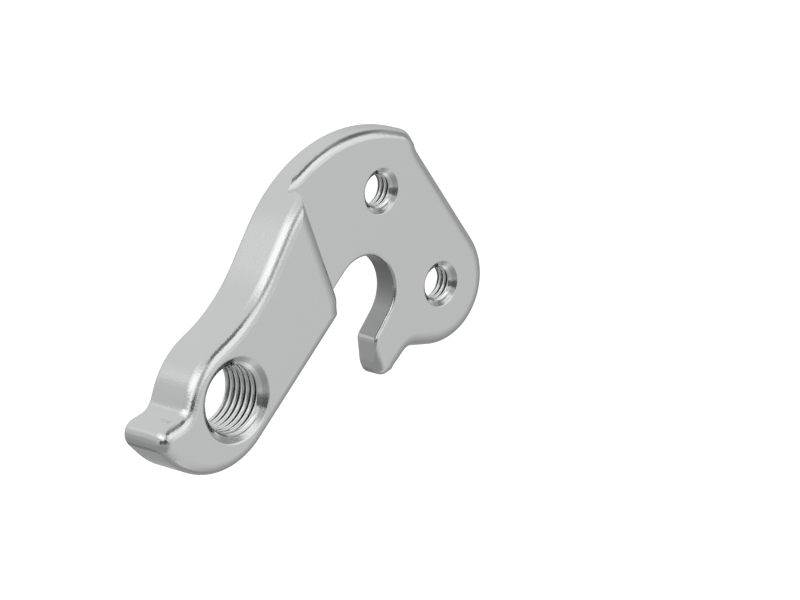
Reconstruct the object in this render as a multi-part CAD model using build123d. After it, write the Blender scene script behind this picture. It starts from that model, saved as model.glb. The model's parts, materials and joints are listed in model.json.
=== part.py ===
from build123d import *

import math
import os

# Rear derailleur hanger for a bicycle with a quick-release axle, one piece of aluminium alloy.
#
# Frame, in millimetres: the origin is on the axis of the derailleur's thread, in the plane of the
# face that seats on the bicycle's dropout. +Z is up as the part is pictured, +X is towards the
# lobe with the frame bolts, and -Y is the outward side, where the derailleur bolts on. On the
# bicycle the part is turned about Y until the axle slot opens downwards.
#
# A thin plate seats on the dropout. A thick arm hangs from it and carries the derailleur, so the
# part has one flat back, and its front has one step where the arm begins.

# Thicknesses
plate_thickness = 4.0
arm_step = 4.0                      # how far the arm's face stands out from the seat face

# Derailleur thread, M10 x 1, bored to its minor diameter
derailleur_bore = 8.92
derailleur_rim = 11.6               # diameter of the countersink at the arm's face
derailleur_back_rim = 10.6          # and at the back
countersink_angle = 90.0

# Frame bolt threads, M5 x 0.8, bored to their minor diameter
bolt_bore = 4.2
bolt_rim = 6.2
bolt_back_rim = 6.4
upper_bolt = (29.2, 21.9)
lower_bolt = (40.0, 7.6)

# Axle slot
axle = (26.5, 8.4)
slot_width = 10.4

# Arm and its stop tab, which the derailleur's adjusting screw pushes on
boss_centre = (-3.0, 1.4)
boss_radius = 10.8
tab_angle = 214.0                   # direction of the tab from the boss's centre
tab_depth = 1.76                    # how far the tab's centre lies inside the boss's edge
tab_radius = 2.0
notch_offset = (-5.4, -2.35)        # corners of the notch and shoulder, from the boss's centre
notch_radius = 2.4
shoulder_offset = (-3.1, 4.1)
shoulder_radius = 11.0

# Crown, the round back of the plate above the axle, and the hollow waist before it
crown_centre = (27.1, 9.15)
crown_radius = 21.25
crown_end_angle = 72.0
crown_end_radius = 2.9
waist_angle = 177.0                 # direction of the waist's corner from the crown's centre
waist_gap = 3.0                     # how far the corner lies outside the crown
waist_radius = 22.0

# Lobe round the lower bolt, with the step at the top of its straight edge
lobe_radius = 8.45
kink_angle = 63.8                   # direction of the step's corner from the crown's centre
kink_depth = 1.2                    # how far the corner lies inside the crown
kink_radius = 2.0

# Hook beyond the axle
hook_nose = (28.15, 2.15)
hook_nose_radius = 1.4
hook_side_radius = 3.1              # round side between the hook's flat facet and its tip
hook_side_angle = 218.0             # direction of that side's outward normal where the tip begins
hook_tip = (30.33, -1.7)
hook_tip_radius = 1.5
hook_back_angle = 12.5              # direction of the hook's back where the tip runs into it
hook_back_radius = 5.7
crotch_angle = 236.5                # direction of the crotch's corner from the lobe's centre
crotch_gap = 0.97                   # how far the corner lies outside the lobe
crotch_radius = 2.4

# Step between the arm and the plate, a straight line that rounds into the arm's lower wall
step_heading = 113.0                # direction of the line, up from its foot
foot_distance = 18.9                # straight wall between the boss and the foot of the step
foot_radius = 3.2

# Edge rounding. Each run of edge has its own corner-rounding cutter
arm_edge_radius = 1.7
step_edge_radius = 2.6
crown_edge_radius = 1.4
lobe_edge_radius = 2.1
tip_edge_radius = 1.45
slot_edge_radius = 0.5
back_edge_radius = 0.8

# Where one rounding blends into the next: the larger one comes in on an arc from the air
run_out_radius = 4.0                # radius of that arc
step_blend = 1.2                    # how far out in the air its path starts, for each run
lobe_blend = 1.2
foot_blend_share = 0.62             # share of the foot's turn before the step's rounding is full
foot_leave_share = 0.8              # and before the arm's rounding leaves straight on
crown_run_out = 3.0                 # length over which the crown's rounding ends before the step
crown_lead_angle = 27.0             # how far past the step the arm's cutter starts, in the air
lobe_wall_blend = 16.5              # straight wall above the lobe before its rounding leaves
crown_overlap = 4.5
hook_blend_angle = -52.0            # on the hook's back, where the lobe's rounding begins
hook_overlap_angle = 4.0
tip_lead = 1.0                      # the tip's cutter starts this far before the nose
tip_lead_gap = 1.25                 # and this far out in the air, so that the rounding grows slowly
slot_run_in = 2.2                   # past the foot, where the slot's rounding is full

blend_gap = 0.03                    # sideways play between two arcs that run into each other
run_out_gap = 0.002
run_out_margin = 0.05
cutter_margin = 1.0                 # how far a cutter reaches into the air
cutter_lift = 0.0005                # it crosses the two faces rather than just touches them
smallest_waste = 0.5                # volume that every cutter takes off at least

seat_y = 0.0
arm_y = -arm_step
back_y = plate_thickness


def on_circle(centre, radius, degrees):
    """Point on a circle at an angle measured from +X towards +Z."""
    angle = math.radians(degrees)
    return (centre[0] + radius * math.cos(angle), centre[1] + radius * math.sin(angle))


def offset_from(point, offset):
    """Point at an offset from another."""
    return (point[0] + offset[0], point[1] + offset[1])


def tangent_normal(first, second):
    """Angle of the outward normal of the line that touches two stations, in degrees."""
    (x0, z0), r0 = first[:2]
    (x1, z1), r1 = second[:2]
    gap = math.hypot(x1 - x0, z1 - z0)
    return math.degrees(math.atan2(z1 - z0, x1 - x0) - math.acos((r0 - r1) / gap))


def wrap(stations, closed=True):
    """Line round the stations in order, anticlockwise: arcs on them, tangents between.

    A station is (centre, radius, rounding). A solid disc has a positive radius and a hollow one a
    negative radius. A radius of 0 is a corner, which gets the rounding. An open line starts and
    ends at plain points.
    """
    count = len(stations)
    links = count if closed else count - 1
    normals = [tangent_normal(stations[i], stations[(i + 1) % count]) for i in range(links)]
    arcs = []
    for i, (centre, radius, rounding) in enumerate(stations):
        if not closed and i in (0, count - 1):
            arcs.append((centre, 0, 0, 0))
            continue
        before, after = normals[i - 1], normals[i % links]
        turn = (after - before) % 360
        if radius < 0:
            turn -= 360
        elif radius == 0:
            turn = (turn + 180) % 360 - 180
            setback = rounding * math.tan(math.radians(abs(turn)) / 2)
            radius = math.copysign(rounding, turn)
            centre = on_circle(on_circle(centre, -setback, before + 90), -radius, before)
        arcs.append((centre, radius, before, turn))
    edges = []
    for i, (centre, radius, before, turn) in enumerate(arcs):
        if radius:
            start = before if radius > 0 else before + 180
            edges.append(CenterArc(centre, abs(radius), start, turn))
        if i < links:
            next_centre, next_radius = arcs[(i + 1) % count][:2]
            edges.append(Line(on_circle(centre, radius, normals[i]),
                              on_circle(next_centre, next_radius, normals[i])))
    return edges


def run_out(contact, outward, way, reach):
    """Stations on which a cutter's path leaves a wall on an arc, until it is reach away from it.

    The path leaves the wall at contact, where outward is the wall's outward normal in degrees.
    way is 1 for a path that ends there and -1 for the mirrored start of a path.
    """
    turn = math.degrees(math.acos(1 - reach / run_out_radius))
    centre = on_circle(contact, run_out_radius + run_out_gap, outward)
    lift = on_circle(centre, run_out_radius, outward + 180 - way * turn)
    end = on_circle(lift, cutter_margin, outward + way * (90 - turn))
    stations = [(centre, -run_out_radius, 0), (end, 0, 0)]
    return stations if way > 0 else stations[::-1]


def run_out_on_disc(station, degrees, way, reach):
    """The same, leaving the wall at an angle on a disc of the outline."""
    centre, radius, _ = station
    return run_out(on_circle(centre, radius, degrees), degrees, way, reach)


def tangent_end(station, degrees, way):
    """End of a path that leaves a disc of the outline straight on, at an angle on the disc."""
    centre, radius, _ = station
    return (on_circle(on_circle(centre, radius, degrees), cutter_margin, degrees + way * 90), 0, 0)


def on_wall(first, second, distance):
    """Point on the wall between two stations, at a distance from where it leaves the first."""
    normal = tangent_normal(first, second)
    return on_circle(on_circle(first[0], first[1], normal), distance, normal + 90)


def upright(y):
    """Drawing plane that faces the viewer, with its x along +X and its y along +Z."""
    return Plane(origin=(0, y, 0), x_dir=(1, 0, 0), z_dir=(0, -1, 0))


def slab(face, back, front):
    """Straight slab of an outline between two Y planes, back first."""
    return extrude(upright(back) * face, amount=back - front)


def rounding_cutter(stations, radius, face_y, closed=False):
    """Waste that a corner-rounding cutter takes off an edge of the face at face_y.

    In its section, x points out of the wall and y into the wall from the face. The section is
    extruded along each straight stretch of the path and revolved along each arc.
    """
    middle = radius * (1 - math.sqrt(0.5))
    section = Pos(cutter_lift, -cutter_lift) * make_face([
        ThreePointArc((-radius, 0), (-middle, middle), (0, radius)),
        Polyline((0, radius), (cutter_margin, radius), (cutter_margin, -cutter_margin),
                 (-radius, -cutter_margin), (-radius, 0)),
    ])
    if face_y == back_y:
        section = mirror(section, about=Plane.XZ)
    stretches = []
    for edge in wrap(stations, closed):
        edge = upright(face_y) * edge
        along = edge % 0
        start = Plane(origin=edge @ 0, x_dir=Vector(0, 1, 0).cross(along), z_dir=along) * section
        if edge.geom_type == GeomType.CIRCLE:
            axis = Axis(edge.arc_center, along.cross(edge.arc_center - edge @ 0))
            turn = math.degrees(edge.length / edge.radius)
            stretches.append(revolve(start, axis=axis, revolution_arc=turn))
        else:
            stretches.append(extrude(start, amount=edge.length, dir=along))
    return Part() + stretches


def bore_waste(centre, front_y, bore, front_rim, back_rim):
    """Waste of a through hole with a countersink at each end, bore and rims given as diameters."""
    slope = math.tan(math.radians(countersink_angle / 2))
    front_end = front_y - cutter_margin
    back_end = back_y + cutter_margin
    front_reach = front_rim / 2 + cutter_margin * slope
    back_reach = back_rim / 2 + cutter_margin * slope
    profile = Polyline(
        (0, front_end), (front_reach, front_end), (bore / 2, front_y + (front_rim - bore) / 2 / slope),
        (bore / 2, back_y - (back_rim - bore) / 2 / slope), (back_reach, back_end), (0, back_end),
        (0, front_end))
    return Pos(centre[0], 0, centre[1]) * revolve(make_face(profile), axis=Axis.Y)


# Stations of the outline. The hook's back and the crown's end touch their neighbours from inside
boss = (boss_centre, boss_radius, 0)
slot = (axle, -slot_width / 2, 0)
nose = (hook_nose, 0, hook_nose_radius)
hook_side = (on_circle(hook_tip, hook_tip_radius - hook_side_radius - blend_gap, hook_side_angle),
             hook_side_radius, 0)
tip = (hook_tip, hook_tip_radius, 0)
hook_back = (on_circle(hook_tip, hook_tip_radius - hook_back_radius - blend_gap, hook_back_angle - 90),
             hook_back_radius, 0)
crotch = (on_circle(lower_bolt, lobe_radius + crotch_gap, crotch_angle), 0, crotch_radius)
lobe = (lower_bolt, lobe_radius, 0)
kink = (on_circle(crown_centre, crown_radius - kink_depth, kink_angle), 0, kink_radius)
crown_end = (on_circle(crown_centre, crown_radius - crown_end_radius + blend_gap, crown_end_angle),
             crown_end_radius, 0)
crown = (crown_centre, crown_radius, 0)
waist = (on_circle(crown_centre, crown_radius + waist_gap, waist_angle), 0, waist_radius)
shoulder = (offset_from(boss_centre, shoulder_offset), 0, shoulder_radius)
notch = (offset_from(boss_centre, notch_offset), 0, notch_radius)
tab = (on_circle(boss_centre, boss_radius - tab_depth, tab_angle), tab_radius, 0)

outline_stations = [boss, slot, nose, hook_side, tip, hook_back, crotch, lobe, kink, crown_end,
                    crown, waist, shoulder, notch, tab]
outline = make_face(wrap(outline_stations))

# The arm is the part of the outline to the left of the step. Its foot rounds into the lower wall
lower_wall = tangent_normal(boss, slot)
foot_contact = on_wall(boss, slot, foot_distance)
foot = (on_circle(foot_contact, -foot_radius, lower_wall), foot_radius, 0)
step_wall = step_heading - 90
beyond = 2 * crown_radius
above_step = (on_circle(on_circle(foot[0], foot_radius, step_wall), beyond, step_heading), 0, 0)
left_of_boss = (on_circle(boss_centre, beyond, step_heading + 45), 0, 0)
arm_outline = outline & make_face(wrap([boss, foot, above_step, left_of_boss]))

step_top = arm_outline.vertices().sort_by(Axis.Y)[-1]
step_top_turn = math.degrees(math.atan2(step_top.Y - crown_centre[1], step_top.X - crown_centre[0]))
past_step = (on_circle((step_top.X, step_top.Y), 2 * step_edge_radius, step_heading), 0, 0)

body = slab(outline, back_y, seat_y) + slab(arm_outline, back_y, arm_y)
body -= rounding_cutter(outline_stations, back_edge_radius, back_y, closed=True)

# Where each run of edge rounding begins and ends. Angles are in degrees, from +X towards +Z
arm_lead = tangent_end(crown, step_top_turn - crown_lead_angle, -1)
foot_blend = lower_wall + foot_blend_share * (step_wall - lower_wall)
foot_leave = lower_wall + foot_leave_share * (step_wall - lower_wall)
crown_lift = step_top_turn - math.degrees(crown_run_out / crown_radius)
lobe_wall = tangent_normal(lobe, kink)
facet = tangent_normal(nose, hook_side)
facet_end = tangent_end(hook_side, facet, 1)
before_nose = (on_circle(on_wall(nose, hook_side, -tip_lead), tip_lead_gap, facet), 0, 0)
slot_start = on_wall(boss, slot, foot_distance + slot_run_in)

edge_runs = [
    (arm_edge_radius, arm_y,
     [arm_lead, crown, waist, shoulder, notch, tab, boss, foot, tangent_end(foot, foot_leave, 1)]),
    (step_edge_radius, arm_y,
     run_out_on_disc(foot, foot_blend, -1, step_blend) + [foot, past_step]),
    (crown_edge_radius, seat_y,
     [(on_wall(lobe, kink, lobe_wall_blend - crown_overlap), 0, 0), kink, crown_end, crown]
     + run_out_on_disc(crown, crown_lift, 1, crown_edge_radius + run_out_margin)),
    (lobe_edge_radius, seat_y,
     run_out_on_disc(hook_back, hook_blend_angle, -1, lobe_blend) + [hook_back, crotch, lobe]
     + run_out(on_wall(lobe, kink, lobe_wall_blend), lobe_wall, 1, lobe_blend)),
    (tip_edge_radius, seat_y,
     [before_nose, hook_side, tip, hook_back,
      tangent_end(hook_back, hook_blend_angle + hook_overlap_angle, 1)]),
    (slot_edge_radius, seat_y,
     run_out(slot_start, lower_wall, -1, slot_edge_radius + run_out_margin) + [slot, nose, facet_end]),
]
for radius, face_y, stations in edge_runs:
    rounded = body - rounding_cutter(stations, radius, face_y)
    if rounded.volume > body.volume - smallest_waste:
        raise ValueError(f"the {radius} mm edge rounding took nothing off")
    body = rounded

body -= bore_waste((0, 0), arm_y, derailleur_bore, derailleur_rim, derailleur_back_rim)
for bolt in (upper_bolt, lower_bolt):
    body -= bore_waste(bolt, seat_y, bolt_bore, bolt_rim, bolt_back_rim)

os.makedirs("parts", exist_ok=True)
export_step(body, "parts/hanger.step")
print("hanger", round(body.volume, 1), "mm3,", len(body.faces()), "faces")
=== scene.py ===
# %% [markdown]
# # A milled derailleur hanger in bead-blasted aluminium
#
# The object is one small plate of aluminium, about 60 mm long. On the real one the plate is
# milled, its holes are drilled and countersunk, and its edges are rounded. Then it is blasted
# with glass beads and anodised clear. The threads are tapped and the axle slot is milled to size
# last, so those faces look different. The darker colour of the thread grooves and of the
# slot's wall is painted shade. The imported CAD model gives the true shape with plain bores.
# This script cuts real threads into the bores, gives each face its finish, and sets up the light
# tent in which such small parts are photographed.

# %% Load the CAD frame
import json
import math

import bpy
import numpy as np
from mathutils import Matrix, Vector

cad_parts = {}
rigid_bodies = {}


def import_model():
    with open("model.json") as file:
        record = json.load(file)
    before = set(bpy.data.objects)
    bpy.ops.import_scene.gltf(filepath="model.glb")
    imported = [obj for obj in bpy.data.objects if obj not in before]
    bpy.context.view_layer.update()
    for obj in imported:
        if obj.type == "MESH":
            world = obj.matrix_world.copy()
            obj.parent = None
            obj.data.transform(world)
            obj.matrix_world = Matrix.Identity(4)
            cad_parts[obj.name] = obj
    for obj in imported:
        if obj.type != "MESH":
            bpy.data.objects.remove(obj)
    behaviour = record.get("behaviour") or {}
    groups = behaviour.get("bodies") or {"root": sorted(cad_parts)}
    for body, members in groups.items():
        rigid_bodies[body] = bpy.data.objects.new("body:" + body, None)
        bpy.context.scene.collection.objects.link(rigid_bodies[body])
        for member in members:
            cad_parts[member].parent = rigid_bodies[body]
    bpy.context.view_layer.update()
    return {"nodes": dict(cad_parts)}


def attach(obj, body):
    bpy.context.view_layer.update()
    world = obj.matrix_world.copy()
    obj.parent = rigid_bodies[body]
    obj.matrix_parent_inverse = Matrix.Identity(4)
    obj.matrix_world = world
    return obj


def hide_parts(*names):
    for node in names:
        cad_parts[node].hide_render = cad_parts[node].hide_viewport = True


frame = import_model()
mm = 0.001

# %% [markdown]
# ## Sizes that the scene shares with the part
#
# The origin lies on the axis of the large thread, +Y points into the part from the face that
# the viewer sees, and +Z is up. The thread sizes are the standard ones of M10 x 1 and M5 x 0.8.
# The CAD rims are sharp. Blasting rounds them a little, so each rim here is slightly wider than
# the CAD's and carries a small rounding.

# %% Sizes in mm and degrees
# minor and the rims are diameters, and cone_angle lies between the countersink's wall and the axis
arm_face = -4.0
seat_face = 0.0
back_face = 4.0

bolt_hole = {
    "front": seat_face, "pitch": 0.8, "minor": 4.2, "cad_rim": 6.2, "rim": 6.3, "back_rim": 6.4,
    "rim_radius": 0.22, "cone_angle": 50.0,
}
derailleur_hole = {
    "front": arm_face, "pitch": 1.0, "minor": 8.92, "cad_rim": 11.6, "rim": 11.8, "back_rim": 10.6,
    "rim_radius": 0.55, "cone_angle": 52.0,
}
holes = [
    {"name": "derailleur", "centre": (0.0, 0.0), **derailleur_hole},
    {"name": "upper_bolt", "centre": (29.2, 21.9), **bolt_hole},
    {"name": "lower_bolt", "centre": (40.0, 7.6), **bolt_hole},
]
print("holes:", [hole["name"] for hole in holes])

# %% [markdown]
# ## The CAD surface
#
# The CAD mesh is a set of loose triangles that carry exact surface normals, so the rounded
# edges shade as true curves. A boolean cut would lose those normals. Instead the triangles
# inside each hole are left out, the rest keeps its normals, and a new surface for each hole is
# sewn to the ring of points that is left round it.

# %% Read the CAD triangles
def read_triangles(node):
    """Corner points and corner normals of a CAD node, as arrays of (triangle, corner, xyz) in mm."""
    mesh = frame["nodes"][node].data
    mesh.calc_loop_triangles()
    points = np.empty(len(mesh.vertices) * 3)
    mesh.vertices.foreach_get("co", points)
    points = points.reshape(-1, 3) / mm
    corners = np.empty(len(mesh.loop_triangles) * 3, np.int64)
    mesh.loop_triangles.foreach_get("vertices", corners)
    loops = np.empty(len(mesh.loop_triangles) * 3, np.int64)
    mesh.loop_triangles.foreach_get("loops", loops)
    normals = np.empty(len(mesh.loops) * 3)
    mesh.corner_normals.foreach_get("vector", normals)
    normals = normals.reshape(-1, 3)
    return points[corners].reshape(-1, 3, 3), normals[loops].reshape(-1, 3, 3)


cad_corners, cad_normals = read_triangles("hanger")
print("CAD triangles:", len(cad_corners))

# %% [markdown]
# ## The threads
#
# A tap leaves a 60 degree groove that climbs one pitch in each turn. Seen along the axis, the
# wall's radius is a simple function of height and angle, so a whole hole can be one grid. The
# land is the part of a pitch that the tap leaves at the bore's radius, and the root is the flat
# bottom of the groove, both as shares of the pitch.

# %% The thread's radius
thread_land = 0.36
thread_root = 0.06
flank_angle = math.radians(30)


def groove_depth(hole):
    """Depth of the groove: half of what land and root leave of the pitch, over tan(flank angle)."""
    return hole["pitch"] * (1 - thread_land - thread_root) / 2 / math.tan(flank_angle)


def thread_radius(height, angle, hole):
    """Radius of the tapped wall: a V groove between wide lands, which turns with the angle.

    In each pitch the land lies at minor / 2, straight flanks lead down from it, and the root is
    groove_depth further out. A right-hand thread climbs as the angle falls, because the angle
    runs from +X to +Z and the height along +Y.
    """
    phase = np.mod(height / hole["pitch"] + angle / (2 * np.pi), 1.0)
    from_root = np.abs(phase - 0.5)
    half_root = thread_root / 2
    half_groove = (1 - thread_land) / 2
    groove = np.clip((half_groove - from_root) / (half_groove - half_root), 0, 1)
    return hole["minor"] / 2 + groove * groove_depth(hole)


print("groove depths in mm:", [round(groove_depth(hole), 2) for hole in holes])

# %% [markdown]
# ## The countersinks
#
# A countersink is a short cone that leads the screw in. Blasting wears its sharp rim to a small
# round lip. Where the countersink is wider than the thread, the countersink wins, and the groove
# runs out into it as it does on the real part. The back has a plain 45 degree one.

# %% The countersinks' radius
def lip_turn(hole):
    """Turn of the lip's rounding in radians, from the flat face to the cone."""
    return math.radians(90 - hole["cone_angle"])


def countersink_radius(height, hole):
    """Radius of the countersinks at a height: a round lip and a cone in front, 45 degrees behind.

    On the lip the radius is rim - sqrt(r^2 - (r - depth)^2), and on the cone it falls by
    tan(cone_angle) for each unit of depth.
    """
    depth = height - hole["front"]
    r = hole["rim_radius"]
    rim = hole["rim"] / 2
    lip_depth = r * (1 - math.cos(lip_turn(hole)))
    on_lip = rim - np.sqrt(np.maximum(r * r - (r - depth) ** 2, 0))
    lip_end = rim - r * math.sin(lip_turn(hole))
    on_cone = lip_end - (depth - lip_depth) * math.tan(math.radians(hole["cone_angle"]))
    front = np.where(depth < lip_depth, on_lip, on_cone)
    back = hole["back_rim"] / 2 - (back_face - height)
    return np.maximum(front, back)


print("radius 0.5 mm below the face:",
      [round(float(countersink_radius(hole["front"] + 0.5, hole)), 2) for hole in holes])

# %% [markdown]
# ## Rims and seams
#
# The CAD keeps a ring of points on each rim of a hole. The front ring is moved out to the new
# rim. A seam then joins the coarse ring to the first fine row of the hole's grid, so that the
# surface has no gap through which light could leak.

# %% Rings of CAD points, and the seam
same_place = 1e-3
same_rim = 0.01


def hole_radius(points, hole):
    """Distance of points from the axis of a hole, which runs along Y."""
    return np.hypot(points[..., 0] - hole["centre"][0], points[..., 2] - hole["centre"][1])


def move_rim(corners, hole):
    """Moves the CAD points on a hole's front rim out to the radius at which the lip starts."""
    on_face = np.abs(corners[..., 1] - hole["front"]) < same_place
    on_rim = on_face & (np.abs(hole_radius(corners, hole) - hole["cad_rim"] / 2) < same_rim)
    for axis, centre in zip((0, 2), hole["centre"]):
        corners[on_rim, axis] = centre + (corners[on_rim, axis] - centre) * hole["rim"] / hole["cad_rim"]


def rim_ring(points, hole, level, reach):
    """The points round a hole at one level, in the order of their angles, and the angles."""
    on_level = np.abs(points[:, 1] - level) < same_place
    near = points[on_level & (hole_radius(points, hole) < reach)]
    near = np.unique(near.round(5), axis=0)
    angles = np.arctan2(near[:, 2] - hole["centre"][1], near[:, 0] - hole["centre"][0]) % (2 * np.pi)
    order = angles.argsort()
    return near[order], angles[order]


def sew(ring_angles, ring, row_angles, row):
    """Triangles between a coarse ring of points and a fine row, given as indices with their angles.

    Each step of the row takes the ring point nearest to its middle, and each change of that
    point gets one more triangle.
    """
    middle = (row_angles + np.pi / len(row_angles)) % (2 * np.pi)
    gap = np.abs((middle[:, None] - ring_angles[None] + np.pi) % (2 * np.pi) - np.pi)
    owner = gap.argmin(1)
    following = np.roll(owner, -1)
    steps = np.stack([row, np.roll(row, -1), ring[owner]], 1)
    change = owner != following
    turns = np.stack([ring[owner[change]], np.roll(row, -1)[change], ring[following[change]]], 1)
    return np.concatenate([steps, turns])


# %% [markdown]
# ## One tapped hole
#
# The grid has a row for every 0.04 mm of depth and a column for every 0.12 mm round the bore,
# which is fine enough for the groove's edges to look crisp. The lip gets its own rows at even
# turns, because its depth changes slowly at first.

# %% The grid of a hole
row_step = 0.04
column_width = 0.12
lip_rows = 12
rim_margin = 0.02


def row_heights(hole):
    """Heights of the rows: even turns on the lip, then even steps to the back face."""
    turns = np.linspace(0, lip_turn(hole), lip_rows + 1)[1:]
    on_lip = hole["front"] + hole["rim_radius"] * (1 - np.cos(turns))
    steps = round((back_face - hole["front"]) / row_step)
    even = np.linspace(hole["front"], back_face, steps + 1)[1:-1]
    return np.concatenate([on_lip, even[even > on_lip[-1] + row_step / 2]])


def tube_triangles(rows, columns):
    """Two triangles for each cell of a grid that is closed round, with faces towards its axis."""
    index = np.arange(rows * columns).reshape(rows, columns)
    here, along = index[:-1], np.roll(index, -1, 1)[:-1]
    over, both = index[1:], np.roll(index, -1, 1)[1:]
    return np.concatenate([np.stack([here, along, both], -1).reshape(-1, 3),
                           np.stack([here, both, over], -1).reshape(-1, 3)])


def hole_surface(hole, corners):
    """Points and triangles of a tapped hole, and which of the CAD triangles it takes the place of.

    The grid's point at height h and angle a has radius = max(thread(h, a), countersink(h)). Its
    first and last rows are sewn to the rings of CAD points on the two rims.
    """
    move_rim(corners, hole)
    reach = max(hole["rim"], hole["back_rim"]) / 2 + rim_margin
    inside = (hole_radius(corners, hole) < reach).all(1)
    rest = corners[~inside].reshape(-1, 3)
    front_points, front_angles = rim_ring(rest, hole, hole["front"], reach)
    back_points, back_angles = rim_ring(rest, hole, back_face, reach)
    heights = row_heights(hole)
    columns = round(np.pi * hole["minor"] / column_width)
    angles = np.arange(columns) / columns * 2 * np.pi
    height, angle = np.meshgrid(heights, angles, indexing="ij")
    radius = np.maximum(thread_radius(height, angle, hole), countersink_radius(height, hole))
    grid = np.stack([hole["centre"][0] + radius * np.cos(angle), height,
                     hole["centre"][1] + radius * np.sin(angle)], -1).reshape(-1, 3)
    row = np.arange(columns)
    front_ring = len(grid) + np.arange(len(front_points))
    back_ring = len(grid) + len(front_points) + np.arange(len(back_points))
    front_seam = sew(front_angles, front_ring, angles, row)[:, ::-1]
    back_seam = sew(back_angles, back_ring, angles, len(grid) - columns + row)
    points = np.concatenate([grid, front_points, back_points])
    triangles = np.concatenate([tube_triangles(len(heights), columns), front_seam, back_seam])
    return points, triangles, inside


# %% [markdown]
# ## Normals and finish of a hole
#
# The grid is fine, so a point's normal can be the mean of the faces round it. On the rim it is
# the flat face's own, so that the lip runs into the face without an edge. The countersink was
# blasted with the rest of the part. Inside the thread's outer radius the metal is freshly cut,
# and how deep each corner lies in the groove is kept for the material, which paints shade into
# the groove with it.

# %% Put the holes in
blasted_face, cut_face, milled_and_shaded_face = 0, 1, 2


def smooth_normals(points, triangles):
    """Corner normals of a smooth surface: each point's normal is the mean of its faces by area."""
    a, b, c = (points[triangles[:, k]] for k in range(3))
    face = np.cross(b - a, c - a)
    total = np.zeros_like(points)
    for k in range(3):
        np.add.at(total, triangles[:, k], face)
    total /= np.maximum(np.linalg.norm(total, axis=1, keepdims=True), 1e-12)
    return total[triangles]


def groove_share(points, hole):
    """0 on the lands and the countersink, 1 at the root: depth below them over the groove's depth."""
    open_radius = np.maximum(countersink_radius(points[..., 1], hole), hole["minor"] / 2)
    return np.clip((hole_radius(points, hole) - open_radius) / groove_depth(hole), 0, 1)


kept = np.ones(len(cad_corners), bool)
hole_parts = []
for hole in holes:
    points, triangles, inside = hole_surface(hole, cad_corners)
    kept &= ~inside
    normals = smooth_normals(points, triangles)
    corners = points[triangles]
    normals[np.abs(corners[..., 1] - hole["front"]) < same_place] = (0, -1, 0)
    major = hole["minor"] / 2 + groove_depth(hole)
    in_thread = hole_radius(corners, hole).mean(1) < major
    finish = np.where(in_thread, cut_face, blasted_face)
    hole_parts.append((corners, normals, finish, groove_share(corners, hole)))
    print(hole["name"], "triangles:", len(triangles))

# %% [markdown]
# ## The slot's wall
#
# The wall of the axle slot is duller than the blasted faces that face the same way, as a wall is
# that was milled to size after blasting. It is also darker, and that is painted shade of the
# narrow slot. The slot is a straight one with a round end, so its wall is all that lies at the
# slot's half width from a line, the slot's spine.

# %% Which triangles form the slot's wall
axle = np.array([26.5, 8.4])
slot_mouth = np.array([-0.64, -0.768])
slot_length = 9.5
slot_half_width = 5.2
slot_margin = 0.15
steepest_normal = 0.35


def in_slot(corners, normals):
    """Which triangles are the slot's wall: all corners lie near half a width from the spine, which
    runs from the axle towards the mouth, and their normals lie across Y."""
    offset = corners[..., [0, 2]] - axle
    along = np.clip(offset @ slot_mouth, 0, slot_length)
    distance = np.linalg.norm(offset - along[..., None] * slot_mouth, axis=-1)
    near = distance < slot_half_width + slot_margin
    return (near & (np.abs(normals[..., 1]) < steepest_normal)).all(1)


slot_wall = in_slot(cad_corners[kept], cad_normals[kept])
print("slot wall triangles:", int(slot_wall.sum()))

# %% [markdown]
# ## One closed body
#
# Body and holes are put together, and points in the same place are merged, so that the result is
# one closed skin. A few slivers of the CAD mesh carry normals that lean far from their own face.
# They would show as dark specks, so those corners take the face's own normal.

# %% Join the parts
corners = np.concatenate([cad_corners[kept], *(part[0] for part in hole_parts)])
normals = np.concatenate([cad_normals[kept], *(part[1] for part in hole_parts)])
# the slot's wall gets the milled material, whose dark colour is painted shade
body_finish = np.where(slot_wall, milled_and_shaded_face, blasted_face)
finish = np.concatenate([body_finish, *(part[2] for part in hole_parts)])
# how deep each corner lies in a groove, which the threads' material turns into painted shade
groove = np.concatenate([np.zeros((kept.sum(), 3)), *(part[3] for part in hole_parts)])
flat = corners.reshape(-1, 3)
cells = (flat / same_place).round().astype(np.int64)
_, first, joined = np.unique(cells, axis=0, return_index=True, return_inverse=True)
points = flat[first]
triangles = joined.reshape(-1, 3)
whole = (triangles != np.roll(triangles, 1, 1)).all(1)
triangles, normals, finish, groove = triangles[whole], normals[whole], finish[whole], groove[whole]

edges = np.sort(np.concatenate([triangles[:, [0, 1]], triangles[:, [1, 2]], triangles[:, [2, 0]]]), 1)
_, uses = np.unique(edges, axis=0, return_counts=True)
print("triangles:", len(triangles), "open or shared edges:", int((uses != 2).sum()))

# %% Straighten stray normals
largest_lean = math.radians(25)

across = np.cross(points[triangles[:, 1]] - points[triangles[:, 0]],
                  points[triangles[:, 2]] - points[triangles[:, 0]])
across /= np.maximum(np.linalg.norm(across, axis=1, keepdims=True), 1e-12)
leaning = (normals * across[:, None]).sum(-1) < math.cos(largest_lean)
stray = leaning & (finish != cut_face)[:, None]
normals = np.where(stray[..., None], across[:, None], normals)
print("corner normals set straight:", int(stray.sum()))

# %% The hanger's mesh
body_mesh = bpy.data.meshes.new("hanger_body")
body_mesh.from_pydata(points * mm, [], triangles.tolist())
body_mesh.polygons.foreach_set("material_index", finish.astype(np.int32))
split_normals = body_mesh.attributes.new("custom_normal", "FLOAT_VECTOR", "CORNER")
split_normals.data.foreach_set("vector", normals.ravel())
# this attribute carries the painted shade of the thread grooves
groove_shade_attribute = body_mesh.attributes.new("groove", "FLOAT", "CORNER")
groove_shade_attribute.data.foreach_set("value", groove.ravel())
body_mesh.update()
body = bpy.data.objects.new("hanger_body", body_mesh)
bpy.context.scene.collection.objects.link(body)
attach(body, "root")
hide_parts("hanger")
print("hanger_body:", len(body_mesh.polygons), "polygons")

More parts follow.
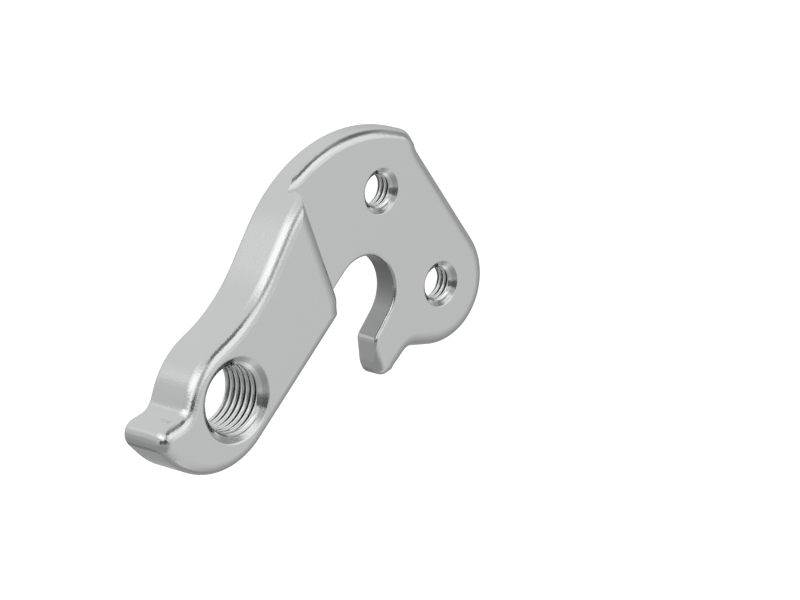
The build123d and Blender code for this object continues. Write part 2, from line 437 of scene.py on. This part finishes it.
# %% [markdown]
# ## Materials
#
# All three finishes are bare aluminium, so each is a Principled shader with Metallic at 1 and its
# default IOR. They differ in colour, roughness and dents. Two helpers serve them all, and the
# light tent too: one turns a screen colour to a linear one, and one adds a node with its links.

# %% Helpers for colours and nodes
def linear(hex_colour):
    """Linear RGBA of an sRGB hex colour: c / 12.92 in the darks, ((c + 0.055) / 1.055)^2.4 above."""
    channels = [int(hex_colour[i:i + 2], 16) / 255 for i in (1, 3, 5)]
    return (*[c / 12.92 if c <= 0.04045 else ((c + 0.055) / 1.055) ** 2.4 for c in channels], 1.0)


def add_node(tree, kind, settings=None, **inputs):
    """Adds a node, sets its properties, and sets its inputs or links them to other nodes.

    An input is named with _ for a space, or by i and its number.
    """
    node = tree.nodes.new(kind)
    for key, value in (settings or {}).items():
        setattr(node, key, value)
    for key, value in inputs.items():
        numbered = key[0] == "i" and key[1:].isdigit()
        socket = node.inputs[int(key[1:]) if numbered else key.replace("_", " ")]
        if isinstance(value, bpy.types.NodeSocket):
            tree.links.new(value, socket)
        else:
            socket.default_value = value
    return node


def new_material(name):
    """An empty node material, its tree and its output node."""
    material = bpy.data.materials.new(name)
    material.use_nodes = True
    material.node_tree.nodes.clear()
    return material, material.node_tree, material.node_tree.nodes.new("ShaderNodeOutputMaterial")


# %% [markdown]
# ## Bead-blasted, clear-anodised aluminium
#
# Glass beads leave a skin of fine round dents, and clear anodising keeps the silver colour. Each
# dent is a small smooth mirror, so the eye sees soft reflections that break into sparkle where
# light meets dark. A high roughness alone would blur them into a flat grey. So the roughness is
# low and a bump of fine noise does the blurring. Real bead dents are about 0.1 mm across, too
# fine for the render, so they are drawn at 0.22 mm.

# %% The blasted finish
def blast_dents(tree, grain_size, depth):
    """Normal of a surface covered with fine dents, with grain size and depth in mm."""
    place = add_node(tree, "ShaderNodeTexCoord").outputs["Object"]
    grain = add_node(tree, "ShaderNodeTexNoise", Vector=place, Scale=1 / (grain_size * mm), Detail=1.0)
    bump = add_node(tree, "ShaderNodeBump", Distance=depth * mm, Height=grain.outputs["Fac"])
    return bump.outputs["Normal"]


blasted, tree, output = new_material("bead_blasted_anodised_aluminium")
surface = add_node(tree, "ShaderNodeBsdfPrincipled", Base_Color=linear("#C3C5C5"), Metallic=1.0,
                   Roughness=0.07, Normal=blast_dents(tree, grain_size=0.22, depth=0.018))
tree.links.new(surface.outputs["BSDF"], output.inputs["Surface"])
print("material:", blasted.name)

# %% [markdown]
# ## Freshly cut aluminium of the threads, with painted shade in the grooves
#
# A tap leaves bright lands. The groove gets little light, and its darkness is painted shade: the
# colour runs from the lands' light grey to a dark grey with the groove attribute of the mesh,
# which runs from 0 on the lands to 1 at the root. A power of 0.6 brings the painted shade up the
# flanks, so each turn reads as a thin dark line. The dents here are shallow tool marks.

# %% The finish of the threads, with painted groove shade
groove_shade_spread = 0.6

cut, tree, output = new_material("machined_aluminium_groove_shade")
share = add_node(tree, "ShaderNodeAttribute", {"attribute_name": "groove"}).outputs["Fac"]
share = add_node(tree, "ShaderNodeMath", {"operation": "POWER"}, i0=share, i1=groove_shade_spread).outputs[0]
# painted shade: the colour darkens from the lands' light grey to a dark grey towards the root
colour = add_node(tree, "ShaderNodeMix", {"data_type": "RGBA"}, i0=share,
                  i6=linear("#E0E1E1"), i7=linear("#505355")).outputs[2]
surface = add_node(tree, "ShaderNodeBsdfPrincipled", Base_Color=colour, Metallic=1.0, Roughness=0.1,
                   Normal=blast_dents(tree, grain_size=0.24, depth=0.006))
tree.links.new(surface.outputs["BSDF"], output.inputs["Surface"])
print("material:", cut.name)

# %% [markdown]
# ## The milled wall of the axle slot, with painted shade
#
# An end mill leaves fine marks across the wall that scatter light wide, so the wall shows an even
# grey with no clear reflections. The marks are too fine to show, so roughness alone stands for
# them. The wall's dark grey colour is painted shade of the narrow slot.

# %% The finish of the slot's wall, with its painted shade
milled, tree, output = new_material("milled_aluminium_slot_shade")
# painted shade: the dark grey colour stands in for the shade inside the narrow slot
surface = add_node(tree, "ShaderNodeBsdfPrincipled", Base_Color=linear("#909291"), Metallic=1.0,
                   Roughness=0.38)
tree.links.new(surface.outputs["BSDF"], output.inputs["Surface"])
print("material:", milled.name)

for material in (blasted, cut, milled):
    body.data.materials.append(material)

# %% [markdown]
# ## The light tent
#
# Polished metal shows its surroundings, so small metal parts are photographed in a tent of white
# cloth, with soft boxes behind the cloth for bright strips, and dark cards for the thin dark lines
# that draw the edges. Here the tent is the world: a function of direction that starts at an even
# strength of 1 and takes in one panel or card after another. Each panel is a patch between two
# azimuths and two elevations, and each card or spot is a disc. Both have soft edges.

# %% Panels and discs
# azimuth from and to, elevation from and to, softness of the sides, of the lower and of the upper
# edge, all in degrees, and the strength
tent_panels = {
    "table_far": (-237, 3, -99, -3, 35, 35, 35, 0.43),
    "table_front": (31, 87, -72, -22, 35, 30, 35, 0.68),
    "table_right": (68, 142, -122, 20, 35, 35, 35, 0.41),
    "far_wall": (-200, -118, -14, -2, 10, 6, 8, 0.56),
    "left_low": (-140, -92, 4, 24, 10, 6, 4, 0.80),
    "shade": (-87, -19, -13, 11, 5, 6, 3, 0.15),
    "shade_low": (-30, 4, -14, -4, 5, 3, 4, 0.42),
    "left_fill": (-142, -95, 25, 49, 9, 5, 12, 1.38),
    "left_softbox": (-115, -51, 25, 49, 8, 4, 9, 1.74),
    "left_strip": (-74, -52, 14, 30, 5, 4, 5, 1.50),
    "gap": (-38, -20, 16, 42, 5, 8, 5, 0.62),
    "front_softbox": (-12, 58, 12, 74, 10, 8, 10, 1.42),
    "front_strip": (30, 50, -2, 26, 5, 8, 6, 1.28),
}
# azimuth, elevation, half angle and softness in degrees, and the strength
tent_discs = {
    "ceiling": (14, 66, 15, 5, 0.42),
    "ceiling_left": (-15, 60, 13, 6, 0.27),
    "dark_card": (68, 52, 20, 14, 0.23),
    "dark_low": (70, 15, 17, 5, 0.46),
    "camera": (-38, 12, 6, 3, 0.10),
    "table_edge": (180, -46, 9, 4, 0.27),
}
print("panels:", len(tent_panels), "discs:", len(tent_discs))

# %% [markdown]
# ## How much of a direction a panel covers
#
# A panel's share of a direction is the product of three smooth steps: one for its two sides, one
# for its lower edge and one for its upper edge. A disc needs only one step, on the angle between
# the direction and its middle.

# %% Shares of panels and discs
def direction(azimuth, elevation):
    """Unit vector of a view direction: azimuth 0 is the front, 90 the right, elevation is up."""
    a, e = math.radians(azimuth), math.radians(elevation)
    return (math.sin(a) * math.cos(e), -math.cos(a) * math.cos(e), math.sin(e))


def soft_edge(tree, angle, edge, soft):
    """A smooth step over an edge, in degrees, of a socket's angle in radians.

    It rises from 0 at edge - soft to 1 at edge + soft. With soft below 0 it falls instead.
    """
    step = add_node(tree, "ShaderNodeMapRange", {"interpolation_type": "SMOOTHSTEP"}, Value=angle,
                    i1=math.radians(edge - soft), i2=math.radians(edge + soft))
    return step.outputs["Result"]


def panel_share(tree, way, left, right, low, high, side_soft, low_soft, high_soft):
    """How much of a direction a panel covers: the product of the steps over its edges.

    The azimuth is taken from the panel's middle, so that it may cross the far side of the tent.
    """
    turned = add_node(tree, "ShaderNodeVectorRotate", {"rotation_type": "Z_AXIS"}, Vector=way,
                      Angle=-math.radians((left + right) / 2)).outputs[0]
    parts = add_node(tree, "ShaderNodeSeparateXYZ", Vector=turned).outputs
    forward = add_node(tree, "ShaderNodeMath", {"operation": "MULTIPLY"}, i0=parts["Y"], i1=-1.0)
    azimuth = add_node(tree, "ShaderNodeMath", {"operation": "ARCTAN2"}, i0=parts["X"],
                       i1=forward.outputs[0])
    aside = add_node(tree, "ShaderNodeMath", {"operation": "ABSOLUTE"}, i0=azimuth.outputs[0])
    elevation = add_node(tree, "ShaderNodeMath", {"operation": "ARCSINE"}, i0=parts["Z"])
    within = soft_edge(tree, aside.outputs[0], (right - left) / 2, -side_soft)
    above = soft_edge(tree, elevation.outputs[0], low, low_soft)
    below = soft_edge(tree, elevation.outputs[0], high, -high_soft)
    band = add_node(tree, "ShaderNodeMath", {"operation": "MULTIPLY"}, i0=above, i1=below)
    return add_node(tree, "ShaderNodeMath", {"operation": "MULTIPLY"}, i0=within,
                    i1=band.outputs[0]).outputs[0]


def disc_share(tree, way, azimuth, elevation, half_angle, soft):
    """How much of a direction a round patch covers, from the angle between the two."""
    cosine = add_node(tree, "ShaderNodeVectorMath", {"operation": "DOT_PRODUCT"}, i0=way,
                      i1=direction(azimuth, elevation)).outputs["Value"]
    capped = add_node(tree, "ShaderNodeMath", {"operation": "MINIMUM"}, i0=cosine, i1=1.0)
    angle = add_node(tree, "ShaderNodeMath", {"operation": "ARCCOSINE"}, i0=capped.outputs[0])
    return soft_edge(tree, angle.outputs[0], half_angle, -soft)


# %% [markdown]
# ## The world
#
# Camera rays see plain white behind the part, and all other rays see the tent. The tent's far
# side is the same white, so the metal's edges mirror the background that the eye sees. The tent
# has no small bright lamp in it, so sampling it as a lamp would cost time and gain nothing.

# %% Build the tent
world = bpy.data.worlds.new("light_tent")
world.use_nodes = True
world.cycles.sampling_method = "NONE"
bpy.context.scene.world = world
tree = world.node_tree
tree.nodes.clear()
way = add_node(tree, "ShaderNodeTexCoord").outputs["Generated"]
shares = [(panel_share(tree, way, *panel[:-1]), panel[-1]) for panel in tent_panels.values()]
shares += [(disc_share(tree, way, *disc[:-1]), disc[-1]) for disc in tent_discs.values()]
level = 1.0
for share, strength in shares:
    mix = add_node(tree, "ShaderNodeMix", {"data_type": "FLOAT"}, i0=share, i2=level, i3=strength)
    level = mix.outputs[0]
rays = add_node(tree, "ShaderNodeLightPath").outputs
seen = add_node(tree, "ShaderNodeMath", {"operation": "MAXIMUM"}, i0=rays["Is Camera Ray"],
                i1=rays["Is Transmission Ray"])
tent = add_node(tree, "ShaderNodeBackground", Color=linear("#FFFFFF"), Strength=level)
white = add_node(tree, "ShaderNodeBackground", Color=linear("#FFFFFF"), Strength=1.0)
both = add_node(tree, "ShaderNodeMixShader", i0=seen.outputs[0], i1=tent.outputs[0],
                i2=white.outputs[0])
add_node(tree, "ShaderNodeOutputWorld", Surface=both.outputs[0])
print("world nodes:", len(tree.nodes))

# %% [markdown]
# ## The floor of the tent
#
# The part is held well above a sheet of white cloth, so its shadow there is faint and wide.
# Cloth is matt and slightly grey. A little glow for camera rays alone brings it up to the white
# of the background and puts no more light on the part. Mirror rays pass through it to the tent,
# whose table panels stand for the cloth there.

# %% Floor
floor_depth = 150.0
floor_half = 2000.0
camera_glow = 0.45

floor_corners = [(-1, -1), (1, -1), (1, 1), (-1, 1)]
floor_points = [(x * floor_half * mm, y * floor_half * mm, -floor_depth * mm) for x, y in floor_corners]
floor_mesh = bpy.data.meshes.new("tent_floor")
floor_mesh.from_pydata(floor_points, [], [(0, 1, 2, 3)])
floor = bpy.data.objects.new("tent_floor", floor_mesh)
bpy.context.scene.collection.objects.link(floor)
floor.visible_glossy = False

cloth, tree, output = new_material("white_cloth")
rays = add_node(tree, "ShaderNodeLightPath").outputs
glow = add_node(tree, "ShaderNodeMath", {"operation": "MULTIPLY"}, i0=rays["Is Camera Ray"],
                i1=camera_glow)
matt = add_node(tree, "ShaderNodeBsdfDiffuse", Color=linear("#E6E6E6"))
fill = add_node(tree, "ShaderNodeEmission", Color=linear("#FFFFFF"), Strength=glow.outputs[0])
whole_cloth = add_node(tree, "ShaderNodeAddShader", i0=matt.outputs[0], i1=fill.outputs[0])
tree.links.new(whole_cloth.outputs[0], output.inputs["Surface"])
floor_mesh.materials.append(cloth)
print("floor:", 2 * floor_half / 1000, "m wide")

# %% [markdown]
# ## The camera
#
# The photograph was taken from the left and a little above, from far enough away that parallel
# edges stay nearly parallel. A long lens at a distance of 800 mm does the same. The focal length
# follows from how many pixels one mm covers, and the camera is moved sideways until the axis of
# the large hole meets the arm's face at the same pixel as in the photograph.

# %% Camera
lens_angle = (-43.75, 14.3)
lens_distance = 800.0
pixels_per_mm = 7.86
frame_size = (800, 600)
aim_pixel = (236.85, 400.5)

back = Vector(direction(*lens_angle))
right = Vector(direction(lens_angle[0] + 90, 0))
up = back.cross(right)
off_right = (aim_pixel[0] - frame_size[0] / 2) / pixels_per_mm
off_up = (frame_size[1] / 2 - aim_pixel[1]) / pixels_per_mm
aim = Vector((0, arm_face, 0))
camera = bpy.data.objects.new("camera", bpy.data.cameras.new("camera"))
bpy.context.scene.collection.objects.link(camera)
camera.location = (aim + back * lens_distance - right * off_right - up * off_up) * mm
camera.rotation_mode = "QUATERNION"
camera.rotation_quaternion = (-back).to_track_quat("-Z", "Y")
camera.data.sensor_width = 36.0
camera.data.lens = camera.data.sensor_width * pixels_per_mm * lens_distance / frame_size[0]
camera.data.clip_start = 0.01
bpy.context.scene.camera = camera
bpy.context.scene.view_settings.view_transform = "Standard"
print("lens in mm:", round(camera.data.lens))
